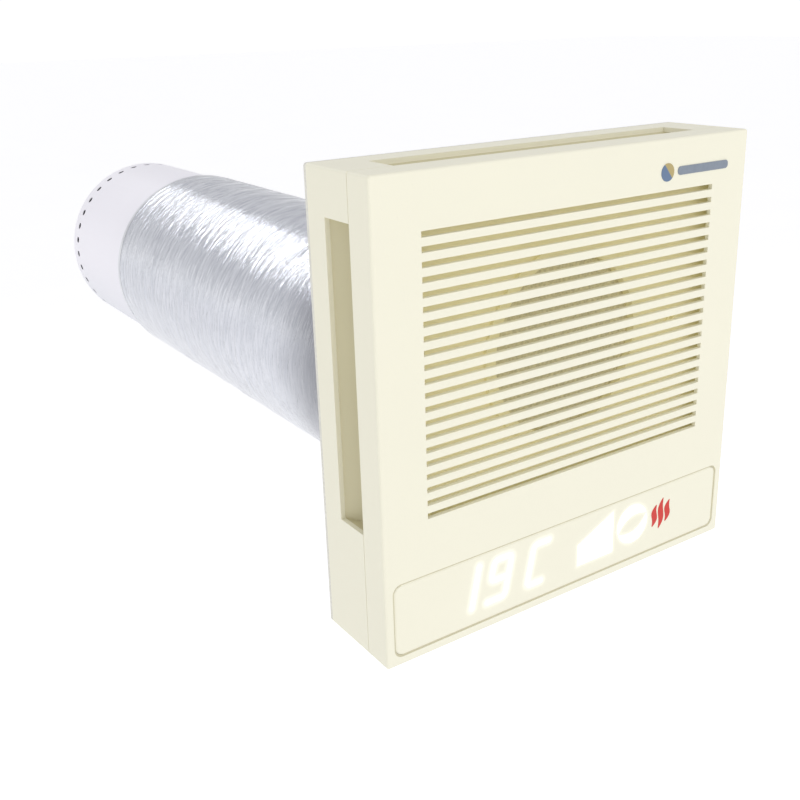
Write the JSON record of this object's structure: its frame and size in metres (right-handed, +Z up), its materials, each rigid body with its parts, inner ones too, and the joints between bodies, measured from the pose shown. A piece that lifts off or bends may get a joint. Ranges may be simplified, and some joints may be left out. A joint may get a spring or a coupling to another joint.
{
  "type": "heat recovery unit",
  "caption": "Through-wall heat recovery unit: a square room-side plate with slotted pull-off cover and lit display on an insulated wall duct that holds a tube heat exchanger and fans.",
  "frame": {"origin": "on the duct axis at the wall plane, which is the rear face of the wall gasket", "axes": "+X to the right seen from the room, +Y along the duct into the wall and outdoors, +Z up"},
  "size_m": [0.24, 0.6053, 0.24],
  "materials": {
    "rear_housing": "satin moulded plastic",
    "wall_gasket": "closed-cell foam",
    "left_air_guide": "satin moulded plastic",
    "right_air_guide": "satin moulded plastic",
    "top_air_guide": "satin moulded plastic",
    "cable_gland": "black rubber",
    "duct_tube": "smooth white plastic",
    "duct_collar": "moulded plastic",
    "collar_screws": "zinc plated",
    "insulation_jacket": "crinkled metallised film over soft insulation",
    "jacket_end_band": "foil tape",
    "outdoor_grille": "moulded plastic",
    "insect_guard": "wire",
    "room_tube_sheet": "moulded plastic",
    "outdoor_tube_sheet": "moulded plastic",
    "exchanger_tubes": "thin drawn tube",
    "flow_baffles": "moulded plastic",
    "extract_hood": "moulded plastic",
    "supply_elbow": "moulded plastic",
    "heater_element": "finned heater",
    "intake_tube": "moulded plastic",
    "extract_fan_frame": "black glass-filled plastic",
    "extract_fan_motor": "wound stator and shaft",
    "extract_impeller": "black plastic",
    "supply_fan_frame": "black glass-filled plastic",
    "supply_fan_motor": "wound stator and shaft",
    "supply_impeller": "black plastic",
    "divider_plate": "moulded plastic",
    "divider_screws": "zinc plated",
    "filter_frame": "moulded plastic",
    "filter_pad": "open-cell filter foam",
    "control_board": "circuit board",
    "board_parts": "moulded electronic parts",
    "terminal_block": "moulded terminal block",
    "display_board": "circuit board",
    "digit_light": "light module",
    "signal_light": "light module",
    "fan_light": "light module",
    "heat_light": "light module",
    "temperature_sensor": "moulded sensor",
    "mains_lead": "insulated wire",
    "display_lead": "insulated wire",
    "extract_fan_lead": "insulated wire",
    "supply_fan_lead": "insulated wire",
    "heater_lead": "insulated wire",
    "front_cover": "satin moulded plastic",
    "cover_pegs": "moulded plastic",
    "front_badge": "printed badge",
    "digit_lenses": "translucent lens",
    "signal_lenses": "translucent lens",
    "fan_lens": "translucent lens",
    "heat_lenses": "translucent lens",
    "display_window": "satin plastic",
    "window_seal": "soft sealing bead"
  },
  "bodies": {
    "wall_unit": {"rear_housing": "rear_housing", "wall_gasket": "wall_gasket", "left_air_guide": "left_air_guide", "right_air_guide": "right_air_guide", "top_air_guide": "top_air_guide", "cable_gland": "cable_gland", "duct_tube": "duct_tube", "duct_collar": "duct_collar", "collar_screws": "collar_screws", "insulation_jacket": "insulation_jacket", "jacket_end_band": "jacket_end_band", "outdoor_grille": "outdoor_grille", "insect_guard": "insect_guard", "room_tube_sheet": "room_tube_sheet", "outdoor_tube_sheet": "outdoor_tube_sheet", "exchanger_tubes": "exchanger_tubes", "flow_baffles": "flow_baffles", "extract_hood": "extract_hood", "supply_elbow": "supply_elbow", "heater_element": "heater_element", "intake_tube": "intake_tube", "extract_fan_frame": "extract_fan_frame", "extract_fan_motor": "extract_fan_motor", "supply_fan_frame": "supply_fan_frame", "supply_fan_motor": "supply_fan_motor", "divider_plate": "divider_plate", "divider_screws": "divider_screws", "filter_frame": "filter_frame", "filter_pad": "filter_pad", "control_board": "control_board", "board_parts": "board_parts", "terminal_block": "terminal_block", "display_board": "display_board", "digit_light": "digit_light", "signal_light": "signal_light", "fan_light": "fan_light", "heat_light": "heat_light", "temperature_sensor": "temperature_sensor", "mains_lead": "mains_lead", "display_lead": "display_lead", "extract_fan_lead": "extract_fan_lead", "supply_fan_lead": "supply_fan_lead", "heater_lead": "heater_lead"},
    "pull_off_cover": {"front_cover": "front_cover", "cover_pegs": "cover_pegs", "front_badge": "front_badge", "digit_lenses": "digit_lenses", "signal_lenses": "signal_lenses", "fan_lens": "fan_lens", "heat_lenses": "heat_lenses", "display_window": "display_window", "window_seal": "window_seal"},
    "extract_rotor": {"extract_impeller": "extract_impeller"},
    "supply_rotor": {"supply_impeller": "supply_impeller"}
  },
  "joints": [
    {"name": "cover_pull", "type": "slide", "parent": "wall_unit", "child": "pull_off_cover", "axis": [0, -1, 0], "range_m": [0, 0.08]},
    {"name": "extract_spin", "type": "hinge", "parent": "wall_unit", "child": "extract_rotor", "pos_m": [0, -0.0311, 0.042], "axis": [0, 1, 0], "continuous": true},
    {"name": "supply_spin", "type": "hinge", "parent": "wall_unit", "child": "supply_rotor", "pos_m": [0, 0.4631, 0], "axis": [0, 1, 0], "continuous": true}
  ]
}
